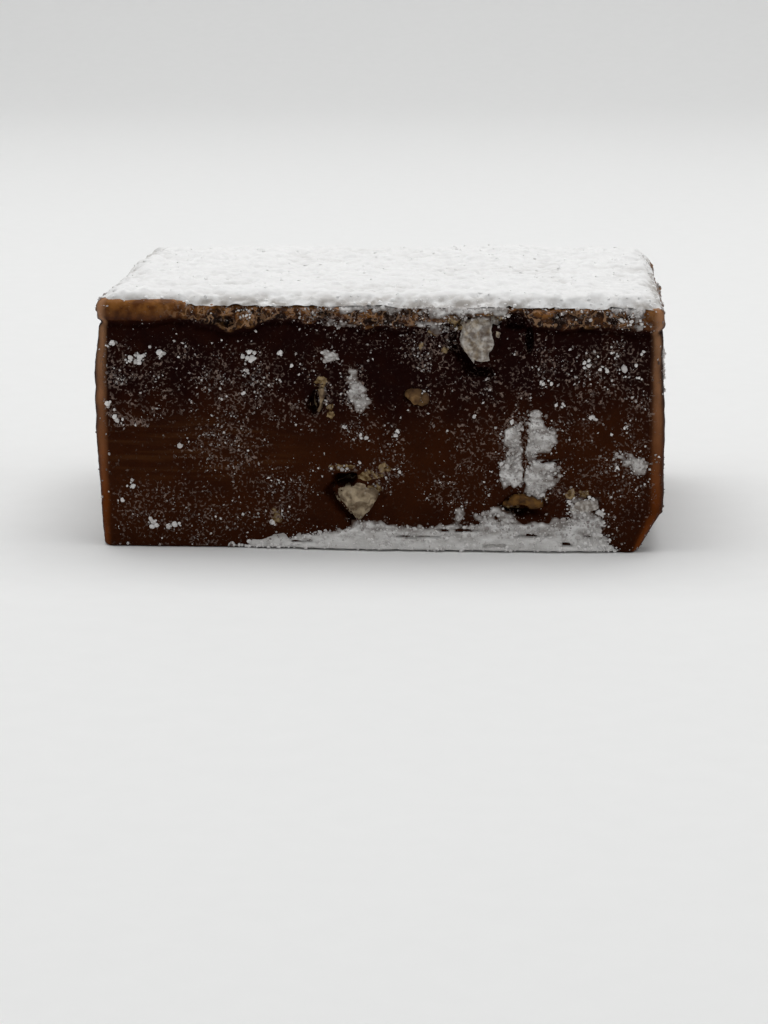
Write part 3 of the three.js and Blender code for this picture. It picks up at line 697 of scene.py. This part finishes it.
def lumps(place, size_mm, detail=3.0):
    """Cloudy noise with lumps of this size."""
    inputs = {"Vector": place, "Scale": 1 / (size_mm * MM), "Detail": detail}
    return add(place, "ShaderNodeTexNoise", inputs).outputs[0]


def levelled(place, share):
    """The place shrunk sideways, which draws lumps of noise out level."""
    return add(place, "ShaderNodeMapping", {"Vector": place, "Scale": (share, share, 1.0)}).outputs[0]


def mark(place, name):
    """The number stored at each point of the mesh under this name."""
    return add(place, "ShaderNodeAttribute", attribute_name=name).outputs["Fac"]


def emboss(shader, height, depth_mm):
    """Fine relief of the surface, no deeper than this."""
    relief = add(shader, "ShaderNodeBump", {"Height": height, "Distance": depth_mm * MM, "Strength": 1.0})
    fill(shader, {"Normal": relief.outputs[0]})


def thin_lines(value, width):
    """1 along the level lines where a noise is one half, 0 away from them."""
    distance = combine("ABSOLUTE", combine("SUBTRACT", value, 0.5))
    return ramp(distance, width, width * 0.5)


def melted_threads(place, dust):
    """Short threads of sugar that melted onto the moist cut, densest where it is dusty."""
    lines = thin_lines(lumps(place, 0.33, 4.0), 0.06)
    denser = combine("ADD", lumps(place, 0.22, 2.0), multiply(dust, 0.13))
    broken = multiply(lines, ramp(denser, 0.58, 0.68))
    return multiply(broken, ramp(lumps(place, 0.8, 3.0), 0.38, 0.62, 0.25, 1.0))


def dragged_lip(place):
    """Chocolate smeared by the blade, paler than the cut face: its tan top and dark red-brown foot are
    painted light from above, its near-black hollows painted shade, and its pale ridges and fold lines
    painted highlights.
    """
    tone = ramp(lumps(place, 0.7, 5.0), 0.38, 0.6)
    low = blend(tone, "#2e1103", "#532a0b")
    high = blend(tone, "#62360f", "#935f2a")
    # painted light from above: tan towards the lip's top, dark red-brown at its foot
    whole = blend(ramp(mark(place, "up"), 0.15, 1.0), low, high)
    # painted shade: near-black in the crumbled lip's hollows and in the torn bubbles
    shaded_in_hollows = blend(multiply(mark(place, "hollow"), 0.92), whole, "#160702")
    # painted highlight: paler on the raised crumbs of the lip
    ridges_highlit = blend(multiply(mark(place, "ridge_highlight"), 0.6), shaded_in_hollows, "#8a6236")
    spots = ramp(lumps(place, 0.25, 3.0), 0.5, 0.42)
    spotted = blend(multiply(multiply(spots, mark(place, "torn")), 0.7), ridges_highlit, "#1f0c04")
    # painted highlight: pale lines along the torn lip's fold edges
    edges = multiply(thin_lines(lumps(place, 0.9, 3.0), 0.035), mark(place, "torn"))
    return blend(multiply(edges, 0.6), spotted, "#b58d6a")


def smeared_nut(place, chocolate):
    """Pale crumbs and smears of ground nut over the chocolate, broken up towards their edges."""
    nutty = mark(place, "nutty")
    crumbs = combine("MULTIPLY_ADD", nutty, 0.25, lumps(place, 0.4, 6.0))
    cover = multiply(ramp(crumbs, 0.66, 0.7), ramp(nutty, 0.0, 0.3))
    tone = ramp(lumps(place, 0.3, 4.0), 0.4, 0.62)
    return blend(multiply(cover, 0.9), chocolate, blend(tone, "#5c4527", "#b09872"))


def cut_milk_chocolate():
    """Soft chocolate, cut cold with a knife: dark dull face with level drag marks and painted shade
    under the lip, a paler lip smeared by the blade with painted light from above on it, painted
    highlights on the rounded corners, and icing sugar rubbed into the grain."""
    material, shader, place = new_material("cut milk chocolate")
    mottled = ramp(lumps(place, 1.6, 4.0), 0.3, 0.7, -0.2, 0.2)
    pale = combine("ADD", mark(place, "tone_and_lip_shade"), mottled, use_clamp=True)
    # painted shade: the dark end of the body colour lies under the lip, by the mark above
    body = blend(pale, "#1a0402", "#381805")
    drag = lumps(levelled(place, 0.08), 0.35, 4.0)
    streaks = multiply(ramp(drag, 0.48, 0.65, 0.0, 0.5), mark(place, "drag"))
    streaked = blend(streaks, body, "#4f2f17")
    rimmed = blend(mark(place, "rim"), streaked, dragged_lip(place))
    nutty = smeared_nut(place, rimmed)
    height = add(place, "ShaderNodeSeparateXYZ", {"Vector": place}).outputs[2]
    # painted highlight on the rounded upright edges, lighter towards the top
    corner = blend(ramp(height, 3 * MM, 14 * MM), "#763a0d", "#a97b58")
    edge_highlit = blend(multiply(mark(place, "edge"), 0.85), nutty, corner)

    threads = melted_threads(place, mark(place, "dust"))
    dust = multiply(threads, ramp(mark(place, "dust"), 0.0, 0.4, 0.15, 0.8))
    fill(shader, {
        "Base Color": blend(dust, edge_highlit, "#9c877c"),
        "Roughness": ramp(dust, 0.0, 0.6, 0.5, 0.95),
        "Specular IOR Level": ramp(mark(place, "rim"), 0.0, 1.0, 0.03, 0.12)})
    emboss(shader, combine("ADD", threads, lumps(place, 0.25)), 0.06)
    return material


def sifted_icing_sugar():
    """Icing sugar shaken through a sieve: dead matt, almost pure white, soft lumps and pits, and
    greyer on the layer's thin, sloping edge: partly chocolate showing through, partly painted shade."""
    material, shader, place = new_material("sifted icing sugar")
    powder = lumps(place, 0.3, 4.0)
    loose = blend(powder, "#ecebea", "#f8f8f7")
    clouds = ramp(lumps(place, 0.9, 4.0), 0.35, 0.62)
    # partly painted shade on the sloping edge, partly chocolate showing through thin sugar
    darkened = blend(multiply(mark(place, "thin"), clouds), loose, "#a9a39d")
    fill(shader, {"Base Color": darkened, "Roughness": 1.0, "Specular IOR Level": 0.1})
    emboss(shader, powder, 0.05)
    return material


def pressed_icing_sugar():
    """The same sugar rubbed onto the moist cut faces: caked, damp and dark where it is thin, and
    whiter at the foot, where it lies loose."""
    material, shader, place = new_material("pressed icing sugar")
    clouds = ramp(lumps(levelled(place, 0.35), 0.5, 5.0), 0.36, 0.62)
    cake = blend(clouds, "#968f8a", "#f4f2f0")
    thin = ramp(mark(place, "thickness"), 0.0, 0.07)
    darkened = blend(thin, "#55443b", cake)
    dried = blend(multiply(mark(place, "dry"), 0.8), darkened, "#efedea")
    fill(shader, {"Base Color": dried, "Roughness": 0.95, "Specular IOR Level": 0.1})
    emboss(shader, lumps(place, 0.18, 3.0), 0.08)
    return material


def sugar_crystal():
    """Grains and little balls of the sugar: white where dry, grey-brown where they half melted."""
    material, shader, place = new_material("sugar crystal")
    shade = ramp(lumps(place, 0.2, 2.0), 0.3, 0.7, 0.75, 1.0)
    tint = blend(multiply(mark(place, "dry"), shade), "#5e4a41", "#f7f5f3")
    fill(shader, {"Base Color": tint, "Roughness": 0.8, "Specular IOR Level": 0.2})
    return material


def chopped_roast_peanut():
    """Blanched roasted peanut, chopped: cream to tan flesh with split fibres, smeared with
    chocolate and dulled by sugar."""
    material, shader, place = new_material("chopped roast peanut")
    patchy = ramp(lumps(place, 0.6, 5.0), 0.36, 0.62)
    roasted = blend(patchy, "#432a12", "#7c5729")
    blanched = blend(patchy, "#75634d", "#cdbb9e")
    flesh = blend(mark(place, "pale"), roasted, blanched)
    # painted shade: dark lines where the flesh is cracked
    crack_shade_lines = thin_lines(lumps(place, 1.3, 2.0), 0.05)
    crack_shaded = blend(multiply(crack_shade_lines, 0.45), flesh, "#4a3221")
    smears = ramp(lumps(place, 1.3, 5.0), 0.58, 0.66, 0.0, 0.8)
    coated = blend(smears, crack_shaded, "#3f2413")
    fine = lumps(place, 0.35, 5.0)
    patches = ramp(combine("ADD", mark(place, "sugared"), fine), 0.85, 1.2, 0.0, 0.8)
    crust = blend(ramp(lumps(place, 0.3, 4.0), 0.4, 0.6), "#8f8781", "#dad6d1")
    sugared = blend(patches, coated, crust)
    fill(shader, {"Base Color": sugared, "Roughness": 0.7, "Specular IOR Level": 0.15})
    emboss(shader, fine, 0.08)
    return material


def matt_white_card():
    """Plain white card under and behind the sweet."""
    material, shader, place = new_material("matt white card")
    fibre = blend(lumps(place, 2.0, 2.0), "#efefee", "#f2f2f1")
    fill(shader, {"Base Color": fibre, "Roughness": 0.9})
    return material


# ---- Grains, crumbs and peanut bits ----
GRAINS = {"tries": 260000, "smallest": 0.09, "largest": 0.34, "narrowest": 0.3, "seed": 7}
LUMPS = {"tries": 62000, "smallest": 0.14, "largest": 0.4, "narrowest": 0.6, "seed": 17}
CRUMBS = {"tries": 14000, "smallest": 0.1, "largest": 0.4, "narrowest": 0.6, "seed": 27}


def ball(divisions):
    """Corners and triangles of a ball of radius 1."""
    shape = bmesh.new()
    bmesh.ops.create_icosphere(shape, subdivisions=divisions, radius=1.0)
    corners = np.array([v.co for v in shape.verts])
    sides = np.array([[v.index for v in face.verts] for face in shape.faces])
    shape.free()
    return corners, sides


OCTAHEDRON = (
    np.array([(1, 0, 0), (0, 1, 0), (-1, 0, 0), (0, -1, 0), (0, 0, 1), (0, 0, -1)], float),
    np.array([(0, 1, 4), (1, 2, 4), (2, 3, 4), (3, 0, 4), (1, 0, 5), (2, 1, 5), (3, 2, 5), (0, 3, 5)]))


def scattered(shape, centres, table, random, swollen=1):
    """Points and faces of many grains, each of its own size, turned, squashed and dented."""
    corners, sides = shape
    count, each = len(centres), len(corners)
    sizes = table["smallest"] + (table["largest"] - table["smallest"]) * random.random(count) ** 2.5
    sizes *= swollen
    turns, _ = np.linalg.qr(random.normal(size=(count, 3, 3)))
    squash = random.uniform(table["narrowest"], 1.0, (count, 1, 3))
    dents = random.uniform(0.7, 1.15, (count, each, 1))
    shapes = (corners[None] * dents * squash) @ turns * sizes[:, None, None] / 2
    points = (shapes + centres[:, None]).reshape(-1, 3)
    faces = (sides[None] + each * np.arange(count)[:, None, None]).reshape(-1, 3)
    return points, faces.tolist()


def scatter_on_walls(table, chance_at, random):
    """Points on the walls, kept where `chance_at` says, and their places on the flat faces."""
    distance = random.uniform(0, PERIMETER, table["tries"])
    z = random.uniform(0.06, HEIGHT - 0.02, table["tries"])
    flat, _ = flat_wall(distance, z)
    kept = random.random(table["tries"]) < chance_at(flat)
    flat = flat[kept]
    points, _, _ = finished_wall(distance[kept], z[kept], np.clip(crust_thickness(flat), 0, None))
    return points, flat


def grain_chance(points):
    """Single grains lie in small clusters within the dusty zones, and a few stray elsewhere."""
    clusters = smooth_step(smooth_noise(points, 0.8, 62), -0.4, 0.6)
    depth = sugar_depth(points)
    beside_sugar = smooth_step(depth, -0.7, 0.0) * (1 - 0.6 * smooth_step(depth, 0.4, 1.0))
    return 0.004 + 0.28 * dustiness(points) * clusters + 0.14 * beside_sugar


def lump_chance(points):
    """Caked lumps cover the patches and the drift's crest, with a few in the dusty zones."""
    clusters = smooth_step(smooth_noise(points, 1.0, 64), 0.2, 0.8)
    depth = sugar_depth(points)
    caked = smooth_step(depth, -0.15, 0.25) * (1 - 0.75 * smooth_step(depth, 0.4, 1.0))
    return np.maximum(0.85 * caked + 0.03 * dustiness(points) * clusters, 0.75 * in_cluster(points))


def in_cluster(points):
    """True inside one of the small heaps of dry lumps on the front."""
    u, front = own_u("front", points)
    inside = [oval_reach(u, points[:, 2], *heap) < 1 for heap in FRONT_CLUSTERS]
    return np.any(inside, axis=0) & front


def wall_grains_piece(material):
    """Single grains: most of them half melted and dim, a few still dry and white."""
    random = np.random.default_rng(GRAINS["seed"])
    points, flat = scatter_on_walls(GRAINS, grain_chance, random)
    on_rim = smooth_step(flat[:, 2], HEIGHT - 0.5, HEIGHT - 0.1)
    caked = np.maximum(smooth_step(sugar_depth(flat), -0.1, 0.2), on_rim)
    chance = random.random(len(points))
    dry = np.maximum(chance**2.6, caked * (0.35 + 0.65 * chance + 0.4 * foot_white(flat)))
    shapes = scattered(OCTAHEDRON, points, GRAINS, random)
    grains = new_piece("sugar_grains", *shapes, material, "icing_sugar")
    paint(grains, "dry", np.repeat(np.clip(dry, 0, 1), len(OCTAHEDRON[0])))


def wall_lumps_piece(material):
    """Caked lumps: dull in the patches, white at the foot and where one lies by itself."""
    random = np.random.default_rng(LUMPS["seed"])
    points, flat = scatter_on_walls(LUMPS, lump_chance, random)
    alone = smooth_step(sugar_depth(flat), 0.0, -0.3)
    heaped = in_cluster(flat)
    dry = 0.33 + random.random(len(points)) * (0.6 + 0.1 * alone) + 0.5 * foot_white(flat) + 0.3 * heaped
    shape = ball(1)
    swollen = 1 + 0.5 * heaped * random.random(len(points))
    shapes = scattered(shape, points, LUMPS, random, swollen)
    caked = new_piece("sugar_lumps", *shapes, material, "icing_sugar")
    paint(caked, "dry", np.repeat(np.clip(dry, 0, 1), len(shape[0])))


def top_crumbs_piece(material):
    """Balls of sugar half sunk in the sifted layer, many along its edge and few in its middle."""
    random = np.random.default_rng(CRUMBS["seed"])
    x = random.uniform(-HALF_LENGTH + 0.5, HALF_LENGTH - 0.5, CRUMBS["tries"])
    y = random.uniform(-HALF_WIDTH + 0.5, HALF_WIDTH - 0.5, CRUMBS["tries"])
    height = top_sugar_height(x, y)
    chance = 0.6 * np.exp(-from_sugar_edge(x, y) / 0.6)
    kept = (height > 0.02) & (random.random(len(x)) < chance)
    centres = np.column_stack([x, y, HEIGHT + height - 0.04])[kept]
    new_piece("sugar_crumbs", *scattered(ball(1), centres, CRUMBS, random), material, "icing_sugar")


def torn_bit(bit):
    """Points and faces of one chopped bit, with torn fibres, clefts and softened edges."""
    nut = bmesh.new()
    nut.from_mesh(bit.data)
    bmesh.ops.remove_doubles(nut, verts=nut.verts, dist=1e-6)
    bmesh.ops.subdivide_edges(nut, edges=nut.edges, cuts=4, use_grid_fill=True)
    every_way = {"use_axis_x": True, "use_axis_y": True, "use_axis_z": True}
    bmesh.ops.smooth_vert(nut, verts=nut.verts, factor=0.4, **every_way)
    nut.normal_update()
    points = np.array([v.co for v in nut.verts]) / MM
    normals = np.array([v.normal for v in nut.verts])
    faces = np.array([[v.index for v in face.verts] for face in nut.faces])
    nut.free()
    clefts = np.abs(smooth_noise(points, 1.1, 73))
    rise = 0.12 * layered_noise(points, 0.9, 70) + 0.05 * smooth_noise(points, 0.28, 72)
    rise -= 0.2 * (1 - smooth_step(clefts, 0.0, 0.16))
    middle = points.mean(axis=0)[:2]
    face = max(FACES.values(), key=lambda face: middle @ face["out"] - face["reach"])
    hollow = 2.2 * bubble_relief(points)
    points[:, :2] -= np.outer(hollow, face["out"])
    return points + normals * rise[:, None], faces


def peanut_piece(material, bits):
    """Every chopped bit in its own socket, as one piece."""
    points, faces, looks = [], [], []
    for bit in bits:
        bit_points, bit_faces = torn_bit(bit)
        faces += (bit_faces + len(looks)).tolist()
        points.append(bit_points)
        looks += [BIT_LOOKS.get(bit.name, USUAL_LOOK)] * len(bit_points)
    piece = new_piece("chopped_peanut", np.concatenate(points), faces, material, "peanut")
    pale, sugared = zip(*looks)
    paint(piece, "pale", pale)
    paint(piece, "sugared", sugared)
    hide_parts(*(bit.name for bit in bits))


# ---- Floor, light and camera ----
CARD = {"half_width": 1.5, "front": -1.2, "bend": 0.35, "radius": 0.25, "top": 1.6}  # metres


def sweep(material):
    """White card that lies flat and curves up behind the sweet."""
    bend, radius, half = CARD["bend"], CARD["radius"], CARD["half_width"]
    turns = np.linspace(0, math.pi / 2, 24)
    arc = [(bend + radius * math.sin(turn), radius - radius * math.cos(turn)) for turn in turns]
    profile = [(CARD["front"], 0.0), *arc, (bend + radius, CARD["top"])]
    points = [(x, y, z) for x in (-half, half) for y, z in profile]
    count = len(profile)
    faces = [(k, count + k, count + k + 1, k + 1) for k in range(count - 1)]
    card = smooth_mesh("white_card", points, faces, material)


def set_up(name, data, place, aim):
    """Stands a lamp or the camera in its place and turns it towards `aim`."""
    holder = bpy.data.objects.new(name, data)
    holder.location = place
    holder.rotation_euler = (Vector(aim) - Vector(place)).to_track_quat("-Z", "Y").to_euler()
    bpy.context.collection.objects.link(holder)
    return holder


def panel(name, place, size, power):
    """A soft square lamp aimed at the sweet."""
    lamp = bpy.data.lights.new(name, "AREA")
    lamp.shape, lamp.size, lamp.energy = "SQUARE", size, power
    set_up(name, lamp, place, (0, 0, 0.008))


def light_box():
    """Light tent: bright roof set back a little, softer sides, little from the front."""
    panel("roof", (0.0, 0.08, 0.5), 0.55, 2.25)
    panel("left_wall", (-0.45, 0.02, 0.22), 0.35, 0.35)
    panel("right_wall", (0.45, 0.02, 0.22), 0.35, 0.35)
    world = bpy.data.worlds.new("tent")
    world.use_nodes = True
    fill(world.node_tree.nodes["Background"], {"Color": linear("#f4f6f8"), "Strength": 0.22})
    bpy.context.scene.world = world


CAMERA = {"place": (10.3, -185.5, 40.7), "aim": (0, -6, 1), "lens": 99}  # mm


def photograph_camera():
    lens = bpy.data.cameras.new("camera")
    lens.lens, lens.sensor_width = CAMERA["lens"], 36.0
    lens.clip_start, lens.clip_end = 0.01, 10.0
    place, aim = Vector(CAMERA["place"]) * MM, Vector(CAMERA["aim"]) * MM
    bpy.context.scene.camera = set_up("camera", lens, place, aim)


# ---- The sweet ----
bits = [node for name, node in sorted(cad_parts.items()) if name.startswith("peanut_bit")]
loose_sugar = sifted_icing_sugar()
chocolate_piece(cut_milk_chocolate(), bits)
top_sugar_piece(loose_sugar)
top_crumbs_piece(loose_sugar)
wall_sugar_piece(pressed_icing_sugar())
crystal = sugar_crystal()
wall_lumps_piece(crystal)
wall_grains_piece(crystal)
peanut_piece(chopped_roast_peanut(), bits)

sweep(matt_white_card())
light_box()
photograph_camera()
bpy.context.scene.view_settings.view_transform = "Standard"
